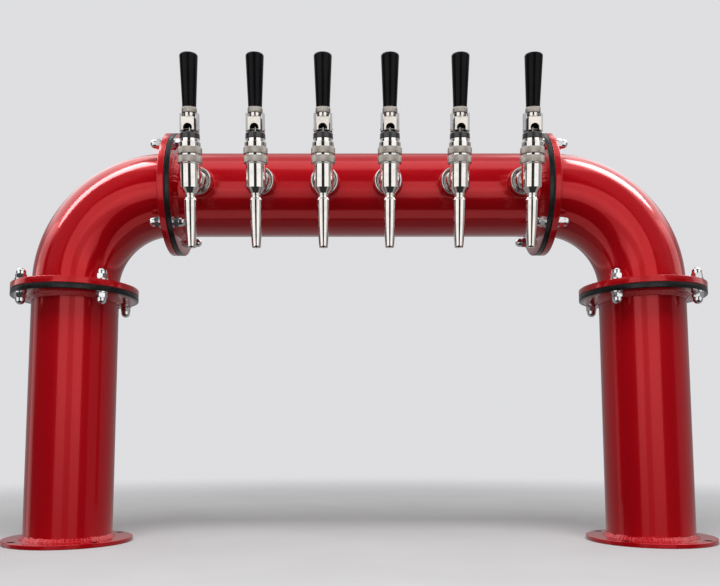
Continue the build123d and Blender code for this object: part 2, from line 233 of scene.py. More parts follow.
def metal(name, base, rough_lo, rough_hi, scale=60.0, brushed=None, grime=(0.30, 0.27, 0.24), grime_amount=0.25, bump_strength=0.03):
    m, nt, b, out = new_mat(name)
    v = coords(nt)
    stretch = coords(nt, brushed) if brushed else v
    tone = noise_tex(nt, v, scale, 4.0, 0.6)
    dark = tuple(c * 0.86 for c in base)
    light = tuple(min(1.0, c * 1.06) for c in base)
    colour = ramp(nt, tone, [(0.3, dark), (0.55, base), (0.8, light)])
    film = noise_tex(nt, v, scale * 2.3, 5.0, 0.65)
    colour = mix_color(nt, remap(nt, film, 0.60, 0.82, 0.0, grime_amount), colour, grime)
    nt.links.new(colour, b.inputs["Base Color"])
    b.inputs["Metallic"].default_value = 1.0
    smear = noise_tex(nt, stretch, scale * 1.4, 4.0, 0.6)
    nt.links.new(remap(nt, smear, 0.3, 0.75, rough_lo, rough_hi), b.inputs["Roughness"])
    fine = noise_tex(nt, stretch, scale * 14.0, 2.0, 0.5)
    bump(nt, b, [(tone, bump_strength, 0.0002), (fine, bump_strength, 0.00005)])
    return m


def plastic(name, base, second, rough_lo, rough_hi, scale=50.0, grain=900.0, grain_strength=0.05, coat=0.0, spec=0.5, transmission=0.0):
    m, nt, b, out = new_mat(name)
    v = coords(nt)
    tone = noise_tex(nt, v, scale, 4.0, 0.55)
    nt.links.new(ramp(nt, tone, [(0.3, base), (0.75, second)]), b.inputs["Base Color"])
    smear = noise_tex(nt, v, scale * 1.9, 4.0, 0.6)
    nt.links.new(remap(nt, smear, 0.3, 0.75, rough_lo, rough_hi), b.inputs["Roughness"])
    b.inputs["Specular IOR Level"].default_value = spec
    b.inputs["Coat Weight"].default_value = coat
    b.inputs["Coat Roughness"].default_value = 0.04
    b.inputs["Transmission Weight"].default_value = transmission
    bump(nt, b, [(noise_tex(nt, v, grain, 2.0, 0.5), grain_strength, 0.0001)])
    return m


M_RED_X = red_paint("enamel_header", (0.25, 1.0, 1.0))
M_RED_Z = red_paint("enamel_column", (1.0, 1.0, 0.25))
M_RED = red_paint("enamel_fitting")
M_RED_ELBOW = red_paint("enamel_elbow", coat=0.29, gloss=0.58)
M_RED_WELD = red_paint("enamel_weld", (1.6, 1.6, 1.6))
M_RIM_COL = {}
for s, nm in ((-1, "left"), (1, "right")):
    M_RIM_COL[nm] = red_paint("enamel_black_rim_column_" + nm, (1, 1, 1), ("Z", (s * column_x * MM, 0.0, 0.0), 0.0792, 0.0022))
M_PLATE = {nm: red_paint("enamel_base_plate_hole_shade_" + nm, holes=(s * column_x * MM, base_hole_r * math.cos(math.radians(45)) * MM)) for s, nm in ((-1, "left"), (1, "right"))}
M_RIM_HEAD = red_paint("enamel_black_rim_header", (1, 1, 1), ("X", (0.0, 0.0, header_z * MM), 0.0829, 0.0010))
M_CHROME = metal("chrome", (0.86, 0.83, 0.80), 0.035, 0.10, 70.0)
M_CHROME_SHANK = metal("chrome_shank", (0.80, 0.79, 0.78), 0.06, 0.14, 60.0)
M_KNURL = metal("knurled_steel_matt", (0.50, 0.46, 0.42), 0.34, 0.48, 90.0, grime=(0.16, 0.14, 0.12), grime_amount=0.5, bump_strength=0.15)
M_ZINC = metal("zinc_plate", (0.78, 0.79, 0.81), 0.10, 0.22, 110.0, grime=(0.32, 0.31, 0.30), grime_amount=0.4, bump_strength=0.08)
M_BLOCK = metal("satin_nickel", (0.90, 0.85, 0.79), 0.18, 0.28, 80.0, grime=(0.55, 0.50, 0.45), grime_amount=0.15, bump_strength=0.02)
# darker steel on the cheeks' edges and outer faces: painted shade for the dark outlines between cheeks and block
M_CHEEK_SHADE = metal("cheek_steel_painted_shade", (0.50, 0.50, 0.51), 0.20, 0.32, 80.0, grime=(0.30, 0.29, 0.28), grime_amount=0.2, bump_strength=0.03)
# valve stem steel: lighter and rougher than the chrome, the lighter colour being painted light so the rod inside the
# arch reads bright
M_STEM_LIT = metal("stem_steel_painted_light", (0.92, 0.88, 0.84), 0.30, 0.42, 90.0, grime=(0.40, 0.37, 0.34), grime_amount=0.15, bump_strength=0.03)
# escutcheon chrome: a darker copy of the chrome, painted shade for the discs
M_DISC_SHADE = metal("disc_chrome_painted_shade", (0.60, 0.585, 0.57), 0.045, 0.11, 70.0)
# dark steel of the arch recess, the block's sides by the cheeks, the cheeks' hidden sides and the webs: painted shade
# where shade falls between the parts
M_ARCH_SHADE = metal("lever_arch_dark", (0.10, 0.095, 0.09), 0.28, 0.45, 120.0, grime=(0.03, 0.028, 0.026), grime_amount=0.6, bump_strength=0.10)
M_BEARING = plastic("bearing_dark", (0.022, 0.022, 0.024), (0.040, 0.040, 0.043), 0.20, 0.32, 60.0, coat=0.25)
M_HANDLE = plastic("handle_black", (0.0030, 0.0030, 0.0034), (0.0062, 0.0062, 0.0068), 0.14, 0.26, 30.0, grain=420.0, grain_strength=0.03, coat=0.0, spec=0.11)
M_RUBBER = plastic("gasket_rubber", (0.010, 0.010, 0.010), (0.022, 0.022, 0.022), 0.45, 0.65, 80.0, grain=1500.0, grain_strength=0.25, spec=0.22)
M_RIM_BLACK = plastic("flange_edge_black", (0.0070, 0.0070, 0.0075), (0.0180, 0.0180, 0.0190), 0.20, 0.36, 60.0, grain=500.0, grain_strength=0.08, coat=0.05, spec=0.22)
M_SEAL = plastic("seal_white", (0.72, 0.71, 0.66), (0.80, 0.79, 0.75), 0.4, 0.55, 120.0, grain=1200.0)
M_HOSE = plastic("hose_clear", (0.70, 0.73, 0.75), (0.80, 0.82, 0.84), 0.18, 0.30, 40.0, grain=300.0, transmission=0.55)


# ------------------------------------------------------------------ mesh code
def rounded(points, radius=0.3, n=3, closed=False, keep=()):
    """Polyline with its corners rounded; radius may be one number or one per point."""
    out = []
    count = len(points)
    for i, p in enumerate(points):
        if not closed and i in (0, count - 1):
            out.append(tuple(p))
            continue
        r = radius[i] if isinstance(radius, (list, tuple)) else radius
        a = Vector(points[i - 1]) - Vector(p)
        c = Vector(points[(i + 1) % count]) - Vector(p)
        la, lc = a.length, c.length
        if r <= 0 or i in keep or la < 1e-6 or lc < 1e-6:
            out.append(tuple(p))
            continue
        a.normalize()
        c.normalize()
        ang = math.acos(max(-1.0, min(1.0, a.dot(c))))
        if ang > math.radians(172):
            out.append(tuple(p))
            continue
        cut = min(r / math.tan(ang / 2), la * 0.45, lc * 0.45)
        s, e = Vector(p) + a * cut, Vector(p) + c * cut
        for k in range(n + 1):
            t = k / n
            q = s * (1 - t) ** 2 + Vector(p) * 2 * t * (1 - t) + e * t * t
            out.append(tuple(q))
    return out


def arc_pts(a, through, b, n=8):
    """Points of the circle through three points, from a (left out) to b."""
    (x1, y1), (x2, y2), (x3, y3) = a, through, b
    d = 2 * (x1 * (y2 - y3) + x2 * (y3 - y1) + x3 * (y1 - y2))
    ux = ((x1 * x1 + y1 * y1) * (y2 - y3) + (x2 * x2 + y2 * y2) * (y3 - y1) + (x3 * x3 + y3 * y3) * (y1 - y2)) / d
    uy = ((x1 * x1 + y1 * y1) * (x3 - x2) + (x2 * x2 + y2 * y2) * (x1 - x3) + (x3 * x3 + y3 * y3) * (x2 - x1)) / d
    r = math.hypot(x1 - ux, y1 - uy)
    t1, t2, t3 = (math.atan2(y - uy, x - ux) for x, y in (a, through, b))
    tau = 2 * math.pi
    span = (t3 - t1) % tau
    if (t2 - t1) % tau > span:
        span -= tau
    return [(ux + r * math.cos(t1 + span * k / n), uy + r * math.sin(t1 + span * k / n)) for k in range(1, n + 1)]


class Shape:
    """Collects faces in millimetres and places them in the row frame."""

    def __init__(self):
        self.v, self.f, self.m = [], [], []

    def add(self, verts, faces, place, mats=None):
        base = len(self.v)
        self.m += mats if mats else [0] * len(faces)
        for p in verts:
            self.v.append(place @ (Vector(p) * MM))
        self.f += [[base + i for i in face] for face in faces]

    def turned(self, profile, place, segs=96, closed=False, axis="Z", shape=None):
        """Surface of revolution. shape(angle, k, r) may change the radius."""
        verts, rings = [], []
        for k, (r, h) in enumerate(profile):
            if r < 1e-6:
                rings.append([len(verts)])
                verts.append((0, 0, h) if axis == "Z" else (0, h, 0))
                continue
            ring = []
            for j in range(segs):
                t = 2 * math.pi * j / segs
                rr = shape(t, k, r) if shape else r
                ring.append(len(verts))
                c, s = rr * math.cos(t), rr * math.sin(t)
                verts.append((c, s, h) if axis == "Z" else (c, h, s))
            rings.append(ring)
        faces = []
        pairs = list(zip(rings, rings[1:])) + ([(rings[-1], rings[0])] if closed else [])
        for a, b in pairs:
            if len(a) == 1 and len(b) == 1:
                continue
            for j in range(segs):
                j2 = (j + 1) % segs
                if len(a) == 1:
                    faces.append([a[0], b[j2], b[j]])
                elif len(b) == 1:
                    faces.append([a[j], a[j2], b[0]])
                else:
                    faces.append([a[j], a[j2], b[j2], b[j]])
        self.add(verts, faces, place)

    def rows(self, rows, place, closed_u=True, closed_v=False):
        verts, faces = [], []
        n = len(rows[0])
        for row in rows:
            verts += row
        m = len(rows)
        for i in range(m if closed_v else m - 1):
            i2 = (i + 1) % m
            for j in range(n if closed_u else n - 1):
                j2 = (j + 1) % n
                faces.append([i * n + j, i * n + j2, i2 * n + j2, i2 * n + j])
        self.add(verts, faces, place)

    def build(self, name, mat, body, replaces=(), slot=None, sharp=30.0, bevel=0.0):
        me = bpy.data.meshes.new(name)
        me.from_pydata([tuple(p) for p in self.v], [], self.f)
        if any(self.m):
            me.polygons.foreach_set("material_index", self.m)
        me.validate()
        import bmesh
        bm = bmesh.new()
        bm.from_mesh(me)
        bmesh.ops.remove_doubles(bm, verts=bm.verts, dist=1e-7)
        bmesh.ops.recalc_face_normals(bm, faces=bm.faces)
        if bevel:
            edges = [e for e in bm.edges if len(e.link_faces) == 2 and e.calc_face_angle(0) > math.radians(35)]
            bmesh.ops.bevel(bm, geom=edges, offset=bevel * MM, segments=2, profile=0.5, affect="EDGES", clamp_overlap=True)
            bmesh.ops.recalc_face_normals(bm, faces=bm.faces)
        bm.to_mesh(me)
        bm.free()
        me.shade_smooth()
        me.set_sharp_from_angle(angle=math.radians(sharp))
        o = bpy.data.objects.new(name, me)
        scene.collection.objects.link(o)
        for one in mat if isinstance(mat, (list, tuple)) else [mat]:
            me.materials.append(one)
        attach(o, body)
        if replaces:
            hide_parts(*([replaces] if isinstance(replaces, str) else replaces))
        return o


def knurl(teeth, depth, rows):
    """Straight knurl cut into the profile rows given."""
    def shape(t, k, r):
        if k not in rows:
            return r
        phase = (t * teeth / (2 * math.pi)) % 1.0
        return r - depth * abs(2 * phase - 1)
    return shape


# ------------------------------------------------------------------ tap pieces
bodies = Shape()
body_profile = [(5.6, -24.8)] + rounded([(5.6, -24.8), (7.5, -24.8), (7.5, -24.2), (12.5, -17.3), (12.5, 11.2), (13.75, 12.0), (13.75, 12.9), (12.0, 12.9)],
                                        [0, 0.2, 0.15, 0.6, 0.4, 0.15, 0.15, 0], 4)
for T in TAP:
    bodies.turned(body_profile, T, 96)
    bodies.turned([(12.0, 12.8), (12.0, 24.0), (9.0, 24.0)], T, 96)
    # side neck with a cast blend into the body
    rows = []
    for u, extra in ((3.0, 0.0), (10.2, 1.0), (11.2, 0.55), (12.2, 0.2), (13.4, 0.0), (15.7, 0.0), (16.0, -0.3)):
        rows.append([((11.0 + extra) * math.cos(a), u, (11.0 + extra) * math.sin(a)) for a in (2 * math.pi * j / 72 for j in range(72))])
    bodies.rows(rows, T)
bodies.build("faucet_body_shells", M_CHROME, "tower", "faucet_bodies", "polished_chrome")

rings = Shape()
collars = Shape()
ring_profile = rounded([(12.05, 12.95), (14.7, 12.95), (15.05, 13.3), (15.05, 20.85), (14.7, 21.2), (12.05, 21.2)],
                       [0, 0.06, 0.06, 0.06, 0.06, 0], 1, closed=True)
ring_knurl = {k for k, (r, h) in enumerate(ring_profile) if r > 14.9}
for T in TAP:
    rings.turned(ring_profile, T, 84 * 4, closed=True, shape=knurl(84, 0.30, ring_knurl))
    collars.turned(rounded([(12.05, 21.21), (13.0, 21.21), (13.4, 21.6), (13.4, 23.6), (13.0, 23.98), (12.05, 23.98)],
                           [0, 0.15, 0.2, 0.2, 0.15, 0], 3, closed=True), T, 96, closed=True)
rings.build("lock_ring_knurls", M_KNURL, "tower", "body_lock_rings", "knurled_steel", sharp=50)
collars.build("lock_ring_collars", M_CHROME, "tower", (), "polished_chrome")

bonnets = Shape()
knurled = Shape()
for T in TAP:
    kp = rounded([(9.0, 24.03), (14.7, 24.03), (15.05, 24.38), (15.05, 31.63), (14.7, 31.98), (9.0, 31.98)], [0, 0.06, 0.06, 0.06, 0.06, 0], 1)
    kr = {k for k, (r, h) in enumerate(kp) if r > 14.9}
    knurled.turned(kp, T, 84 * 4, closed=True, shape=knurl(84, 0.30, kr))
    bonnets.turned(rounded([(9.0, 32.0), (13.7, 32.0), (13.7, 38.0), (13.3, 38.4), (12.2, 38.4), (12.2, 42.5), (2.3, 42.5)],
                           [0, 0.15, 0.2, 0.15, 0.12, 0.2, 0], 3), T, 96)
knurled.build("bonnet_knurls", M_KNURL, "tower", (), "knurled_steel", sharp=50)
bonnets.build("bonnet_shells", M_CHROME, "tower", "faucet_bonnets", "polished_chrome")

bearings = Shape()
for T in TAP:
    bearings.turned(rounded([(2.5, 42.52), (12.2, 42.52), (12.6, 43.1), (12.4, 49.1), (11.5, 50.7), (2.5, 50.7)],
                            [0, 0.2, 0.25, 0.5, 0.35, 0], 4), T, 96)
bearings.build("bearing_rings_turned", M_BEARING, "tower", "lever_bearing_rings", "bearing_black")

spouts = Shape()
spout_profile = ([(3.9, -60.0), (3.9, -90.9), (4.1, -91.4), (4.6, -91.5), (5.1, -91.45), (5.4, -91.1)]
                 + [(5.4 + 2.25 * (t ** 0.9), -91.1 + 31.1 * t) for t in (0.12, 0.25, 0.4, 0.55, 0.7, 0.85, 1.0)]
                 + [(7.95, -52.0), (8.18, -44.0), (8.32, -38.0), (8.36, -33.2)]
                 + arc_pts((8.36, -33.2), (8.15, -31.9), (7.3, -31.1), 6)
                 + [(6.7, -29.7), (6.5, -29.0), (6.5, -26.9), (6.6, -26.55), (6.9, -26.35), (6.9, -24.78)])
for T in TAP:
    spouts.turned(spout_profile, T, 96)
    spouts.turned([(3.9, -60.0), (0.0, -60.0)], T, 96)
spouts.build("nozzle_spouts", M_CHROME, "tower", "faucet_nozzles", "polished_chrome", sharp=40)

discs = Shape()
disc_profile = ([(11.05, 43.0), (17.5, 43.0), (18.0, 42.5)] + arc_pts((18.0, 42.5), (17.75, 40.2), (16.8, 39.6), 4) + [(15.1, 39.6)]
                + arc_pts((15.1, 39.6), (14.5, 40.3), (13.9, 39.6), 6)
                + arc_pts((13.9, 39.6), (13.2, 36.0), (11.6, 31.2), 8) + [(11.3, 31.0), (11.05, 31.0)])
for T in TAP:
    discs.turned(disc_profile, T, 96, closed=True, axis="Y")
discs.build("escutcheon_discs", M_DISC_SHADE, "tower", "shank_escutcheons", "polished_chrome", sharp=35)

bosses = Shape()


def to_header(x, z):
    return head_y - math.sqrt(pipe_r ** 2 - (z - head_z) ** 2)


for n, T in enumerate(TAP):
    rows = []
    N = 96
    for r, y in ((11.2, 43.02), (18.2, 43.02), (18.6, 43.15), (18.8, 43.5), (18.8, 47.0)):
        rows.append([(r * math.cos(2 * math.pi * j / N), y, r * math.sin(2 * math.pi * j / N)) for j in range(N)])
    for flare, lift in ((0.0, 1.6), (0.10, 1.1), (0.30, 0.7), (0.65, 0.35), (1.1, 0.1), (1.5, 0.0), (1.9, -0.3)):
        row = []
        for j in range(N):
            t = 2 * math.pi * j / N
            wob = 1.0 + 0.22 * noise.noise((3.0 * math.cos(t), 3.0 * math.sin(t), n * 5.0))
            r = 18.75 + flare * wob
            x, z = r * math.cos(t), r * math.sin(t)
            row.append((x, to_header(x, z) - lift * wob if lift > 0 else to_header(x, z) - lift, z))
        rows.append(row)
    bosses.rows(rows, T)
bosses.build("boss_stubs_welded", M_RED, "tower", "shank_bosses", "red_enamel", sharp=40)

# ------------------------------------------------------------------ moving tap pieces
pin_h = 55.4
cam_offset, cam_drop = 8.5, 4.4
phi_max = math.radians(28.0)


def cam_point(phi):
    drop = cam_drop + cam_offset * phi
    return (-cam_offset * math.cos(phi) - drop * math.sin(phi), cam_offset * math.sin(phi) - drop * math.cos(phi))


cam = [cam_point(phi_max * k / 6) for k in range(7)]
front_y, back_y, arch_back, top_z = -12.2, 8.5, 5.0, 12.9


def lever_bottom(y):
    if y >= cam[0][0]:
        return -4.4 if y < back_y - 2.0 else -4.4 + (y - back_y + 2.0)
    for (y1, z1), (y2, z2) in zip(cam, cam[1:]):
        if y2 <= y <= y1:
            return z1 + (z2 - z1) * (y - y1) / (y2 - y1)
    return cam[-1][1] + 0.12


def lever_mesh(shape, T):
    P = T @ Matrix.Translation((0, 0, pin_h * MM))
    w, ar, az = 7.75, 5.5, -0.8
    ys = [front_y, -11.6, -10.4] + [c[0] for c in reversed(cam)] + [-6.0, -3.0, 0.0, 3.0, arch_back]
    ys = sorted(set(round(y, 4) for y in ys))
    arch = [(ar * math.cos(a), az + ar * math.sin(a)) for a in (math.pi * k / 16 for k in range(17))]
    stations = []
    for y in ys:
        zb = lever_bottom(y)
        zt = top_z - (0.8 if y == front_y else 0.25 if y < -11 else 0.0)
        ring = [(w, y, zb), (w, y, az), (w, y, zt), (4.0, y, zt), (-4.0, y, zt), (-w, y, zt), (-w, y, az), (-w, y, zb), (-ar, y, zb)]
        ring += [(x, y, z) for x, z in reversed(arch)]
        ring += [(ar, y, zb)]
        stations.append(ring)
    n = len(stations[0])
    verts = [p for ring in stations for p in ring]
    faces, mats = [], []
    for i in range(len(stations) - 1):
        for j in range(n):
            j2 = (j + 1) % n
            faces.append([i * n + j, i * n + j2, (i + 1) * n + j2, (i + 1) * n + j])
            # material 1 is painted shade: the arch recess and the block's sides next to the cheeks
            mats.append(1 if 8 <= j <= 25 or j in (0, 1, 5, 6) else 0)
    # front face: strips between the outer outline and the arch
    top = len(verts)

    def cap(base):
        out = []
        # outer indices 0..7, inner 8 (bottom left), 9..25 arch from -x to +x, 26 bottom right
        inner = list(range(9, 26))
        out.append([base + 7, base + 8, base + 9, base + 6])
        out.append([base + 0, base + 1, base + 25, base + 26])
        mid = len(inner) // 2
        out.append([base + 6] + [base + k for k in inner[:mid + 1]] + [base + 4, base + 5])
        out.append([base + 4, base + inner[mid], base + 3])
        out.append([base + 1, base + 2, base + 3] + [base + k for k in inner[mid:]])
        return out
    faces += cap(0)
    # back wall behind the arch
    last = (len(stations) - 1) * n
    zb = -4.4
    back = [(w, back_y - 2.0, zb), (w, back_y, zb + 2.0), (w, back_y, top_z - 1.2), (w, back_y - 1.2, top_z)]
    rowl = [(-x, y, z) for x, y, z in back]
    b0 = len(verts)
    verts += back + rowl
    outer_r = [last + 0, last + 1, last + 2]
    outer_l = [last + 7, last + 6, last + 5]
    faces.append([outer_r[0], b0 + 0, b0 + 1, b0 + 2, b0 + 3, outer_r[2], outer_r[1]])
    faces.append([outer_l[0], outer_l[1], outer_l[2], b0 + 7, b0 + 6, b0 + 5, b0 + 4])
    faces.append([b0 + 0, b0 + 4, b0 + 5, b0 + 1])
    faces.append([b0 + 1, b0 + 5, b0 + 6, b0 + 2])
    faces.append([b0 + 2, b0 + 6, b0 + 7, b0 + 3])
    faces.append([last + 2, b0 + 3, b0 + 7, last + 5, last + 4, last + 3])
    faces.append([last + 0, last + 26, last + 8, last + 7, b0 + 4, b0 + 0])
    mats += [0] * (len(faces) - len(mats))
    # the back of the arch gets the painted shade too
    faces.append([last + 8] + [last + k for k in range(9, 26)] + [last + 26])
    mats.append(1)
    shape.add(verts, faces, P, mats)


def slab(shape, T, x0, x1, y0, y1, z0, z1, r=0.0, edge=0, inner=1):
    """Rounded plate standing on edge, outline in Y-Z, thickness in X. x0 is the hidden side."""
    pts = [(y0, z0), (y1, z0), (y1, z1), (y0, z1)]
    pts = rounded(pts, r, 4, closed=True) if r else pts
    n = len(pts)
    verts = [(x0, y, z) for y, z in pts] + [(x1, y, z) for y, z in pts]
    faces = [[i, (i + 1) % n, n + (i + 1) % n, n + i] for i in range(n)]
    faces += [list(range(n)), list(range(n, 2 * n))]
    shape.add(verts, faces, T, [edge] * n + [inner, edge])


neck_profile = [(0.0, 68.0), (4.95, 68.0), (5.0, 68.3)] + arc_pts((5.0, 68.3), (6.75, 70.2), (7.4, 72.3), 10) + [(7.4, 74.3), (7.25, 74.48), (3.0, 74.48)]
ferrule_profile = rounded([(4.05, 74.52), (8.75, 74.52), (9.35, 75.1), (9.35, 80.9), (8.75, 81.48), (4.05, 81.48)], [0, 0.1, 0.1, 0.1, 0.1, 0], 1, closed=True)
ferrule_rows = {k for k, (r, h) in enumerate(ferrule_profile) if r > 9.0}
crown = arc_pts((8.2, 147.0), (4.1, 147.6), (0.0, 147.8), 10)
handle_profile = ([(4.1, 81.52)] + rounded([(4.1, 81.52), (8.25, 81.52), (8.58, 82.1), (11.3, 143.6)], [0, 0.2, 0.3, 0], 3)[1:-1]
                  + [(8.58 + 2.72 * t, 82.1 + 61.5 * t) for t in (0.25, 0.5, 0.75, 1.0)]
                  + arc_pts((11.3, 143.6), (10.55, 146.0), (8.2, 147.0), 8) + crown)
for n, T in enumerate(TAP, start=1):
    body = "lever_%d" % n
    block = Shape()
    lever_mesh(block, T)
    # cheeks and their webs; the cheeks' edges and outer faces carry painted shade (material 2), their hidden sides and
    # the webs the arch's painted shade (material 1)
    for s in (-1, 1):
        slab(block, T, s * 8.7, s * 11.6, -4.5, 4.5, 52.0, 74.2, 0.8, edge=2)
        slab(block, T, s * 7.6, s * 8.8, -3.5, 3.5, 52.05, 61.9, edge=1)
    block.build("lever_block_%d" % n, [M_BLOCK, M_ARCH_SHADE, M_CHEEK_SHADE], body, "tap_lever_%d" % n, "polished_chrome", sharp=14, bevel=0.28)
    neck = Shape()
    neck.turned(neck_profile, T, 72)
    neck.build("lever_neck_%d" % n, M_CHROME, body, (), "polished_chrome")
    fer = Shape()
    fer.turned(ferrule_profile, T, 60 * 4, closed=True, shape=knurl(60, 0.22, ferrule_rows))
    fer.build("ferrule_knurl_%d" % n, M_KNURL, body, "lever_ferrule_%d" % n, "knurled_steel", sharp=50)
    grip = Shape()
    grip.turned(handle_profile, T, 96)
    grip.build("handle_grip_%d" % n, M_HANDLE, body, "tap_handle_%d" % n, "handle_black", sharp=45)

# ------------------------------------------------------------------ flange fastenings
def nut_rows(segs=72):
    rows = []
    af, cone0, cone1 = 6.5, 6.35, 7.6

    def hexr(t):
        a = (t % (math.pi / 3)) - math.pi / 6
        return af / math.cos(a)
    levels = [(0.0, 6.30), (0.15, 6.75), (0.4, 7.15), (0.9, 7.7), (3.2, 7.7), (5.6, 7.7), (6.1, 7.15), (6.35, 6.75), (6.5, 6.30)]
    rows.append([(4.0, 0.0)] * segs)
    for z, lim in levels:
        rows.append([(min(hexr(2 * math.pi * j / segs), lim), z) for j in range(segs)])
    for r, z in [(6.2, 6.52), (6.2, 8.8)] + [(6.2 * math.cos(a), 8.8 + 6.2 * math.sin(a)) for a in (math.radians(d) for d in (12, 24, 36, 48, 60, 72, 83))]:
        rows.append([(r, z)] * segs)
    out = []
    for row in rows:
        out.append([(r * math.cos(2 * math.pi * j / segs), r * math.sin(2 * math.pi * j / segs), z) for j, (r, z) in enumerate(row)])
    return out


nut_shape = nut_rows()
nuts = Shape()
stack, washer_t = mating_t + gasket_t + elbow_t, 1.6


def rot(deg, axis):
    return Matrix.Rotation(math.radians(deg), 4, axis)


def move(x, y, z):
    return Matrix.Translation((x * MM, y * MM, z * MM))


joint_frames = [move(-column_x, 0, column_top), move(column_x, 0, column_top),
                move(-header_end, 0, header_z) @ rot(-90, "Y"), move(header_end, 0, header_z) @ rot(90, "Y")]
for F in joint_frames:
    for k in range(4):
        spot = F @ rot(45 + 90 * k, "Z") @ move(stud_r, 0, 0)
        for P in (spot @ move(0, 0, stack + washer_t) @ rot(13 * k, "Z"), spot @ move(0, 0, -washer_t) @ rot(180, "X") @ rot(17 * k, "Z")):
            nuts.rows(nut_shape, P)
            top = nut_shape[-1]
            nuts.add(top, [list(range(len(top)))], P)
nuts.build("cap_nuts_domed", M_ZINC, "tower", "flange_cap_nuts", "zinc_steel", sharp=22)


# ------------------------------------------------------------------ weld beads
def weld(shape, P, leg, seed, inner=pipe_r, ripple=0.30, pitch=3.6, rough=0.16, N=720):
    """Hand-laid fillet: overlapping scales along the run and a wandering toe."""
    steps = 9
    scales = round(2 * math.pi * inner / pitch)
    rows = []
    for j in range(N):
        t = 2 * math.pi * j / N
        c, s = math.cos(t), math.sin(t)
        wander = 1.0 + rough * noise.noise((5.0 * c, 5.0 * s, seed)) + 0.5 * rough * noise.noise((17.0 * c, 17.0 * s, seed + 3.0))
        phase = (t * scales / (2 * math.pi) + 0.35 * noise.noise((9 * c, 9 * s, seed + 7.0))) % 1.0
        scale_h = ripple * (1.0 - phase) ** 1.6
        row = []
        for k in range(steps + 1):
            a = (math.pi / 2) * k / steps
            lr = leg * wander
            bulge = 0.66 + 0.34 * (1 - math.sin(2 * a))
            rr = lr * math.cos(a) * (1.0 - 0.30 * math.sin(2 * a)) + scale_h * math.sin(2 * a) * 0.8
            zz = lr * math.sin(a) * (1.0 - 0.30 * math.sin(2 * a)) + scale_h * math.sin(2 * a) * 0.8
            row.append(((inner - 0.1 + rr) * c, (inner - 0.1 + rr) * s, zz - (0.05 if k == 0 else 0.0)))
        rows.append(row)
    verts, faces = [], []
    n = steps + 1
    for row in rows:
        verts += row
    for j in range(N):
        j2 = (j + 1) % N
        for k in range(n - 1):
            faces.append([j * n + k, j2 * n + k, j2 * n + k + 1, j * n + k + 1])
    shape.add(verts, faces, P)


beads = Shape()
k = 0
for s in (-1, 1):
    spots = [
        move(s * header_end, 0, header_z) @ rot(-90 * s, "Y"),
        move(s * column_x, 0, column_top) @ rot(180, "X"),
        move(s * column_x, 0, joint_z + elbow_t),
        move(s * (joint_x + elbow_t), 0, header_z) @ rot(90 * s, "Y"),
    ]
    for P in spots:
        weld(beads, P, 5.4, 11.0 * k)
        k += 1
beads.build("flange_welds_laid", M_RED_WELD, "tower", "flange_weld_beads", "red_enamel", sharp=60)

foot = Shape()
for s in (-1, 1):
    weld(foot, move(s * column_x, 0, base_t), 4.6, 90.0 + s * 5, ripple=0.30, pitch=3.4, rough=0.34)
foot.build("foot_welds_laid", M_RED_WELD, "tower", "base_weld_beads", "red_enamel", sharp=60)

# ------------------------------------------------------------------ flanges and gaskets
def ring(place, r0, r1, z0, z1, edge, segs=256, n=3, rim=False):
    s_ = Shape()
    prof = rounded([(r0, z0), (r1, z0), (r1, z1), (r0, z1)], [0.2, edge, edge, 0.2], n, closed=True)
    s_.turned(prof, place, segs, closed=True)
    if rim:
        s_.m = [int(min(prof[k][0], prof[(k + 1) % len(prof)][0]) > r1 - edge - 0.01) for k in range(len(prof)) for _ in range(segs)]
    return s_


bore = pipe_r - 3.2
gaskets = Shape()
for s, side in ((-1, "left"), (1, "right")):
    col = move(s * column_x, 0, column_top)
    head = move(s * header_end, 0, header_z) @ rot(90 * s, "Y")
    ring(col, bore, flange_r, 0.0, mating_t, 0.7, rim=True).build(side + "_column_ring", [M_RIM_COL[side], M_RIM_BLACK], "tower", side + "_column_flange", "black_enamel", sharp=40)
    ring(head, bore, flange_r, 0.0, mating_t, 0.7, rim=True).build(side + "_header_ring", [M_RIM_HEAD, M_RIM_BLACK], "tower", side + "_header_flange", "black_enamel", sharp=40)
    ring(move(s * column_x, 0, joint_z), bore, flange_r, 0.0, elbow_t, 0.8).build(side + "_elbow_ring_low", M_RED, "tower", side + "_elbow_lower_flange", "red_enamel", sharp=40)
    ring(move(s * joint_x, 0, header_z) @ rot(90 * s, "Y"), bore, flange_r, 0.0, elbow_t, 0.8).build(side + "_elbow_ring_high", M_RED, "tower", side + "_elbow_upper_flange", "red_enamel", sharp=40)
    for P in (move(s * column_x, 0, joint_z - gasket_t), move(s * (joint_x - gasket_t), 0, header_z) @ rot(90 * s, "Y")):
        gaskets.turned(rounded([(bore, 0.0), (flange_r - 0.4, 0.0), (flange_r - 0.4, gasket_t), (bore, gasket_t)], 0.15, 2, closed=True), P, 256, closed=True)
gaskets.build("gasket_sheets", M_RUBBER, "tower", "flange_gaskets", "gasket_rubber", sharp=40)

# ------------------------------------------------------------------ materials of the frame's own nodes
plan = {
    "header_pipe": M_RED_X,
    "left_column_pipe": M_RED_Z, "right_column_pipe": M_RED_Z,
    "left_elbow": M_RED_ELBOW, "right_elbow": M_RED_ELBOW,
    "left_base_plate": M_PLATE["left"], "right_base_plate": M_PLATE["right"],
    "flange_studs": M_ZINC, "flange_washers": M_ZINC,
    "shank_saddle_washers": M_ZINC, "shank_lock_nuts": M_ZINC,
    "faucet_shanks": M_CHROME_SHANK,
    "beer_lines": M_HOSE,
    "stem_packings": M_SEAL, "valve_seat_rings": M_SEAL,
    "nozzle_restrictors": M_CHROME_SHANK,
}
for n in range(1, 7):
    plan["valve_stem_%d" % n] = M_STEM_LIT
for name, mat in plan.items():
    me = nodes[name].data
    me.materials.clear()
    me.materials.append(mat)

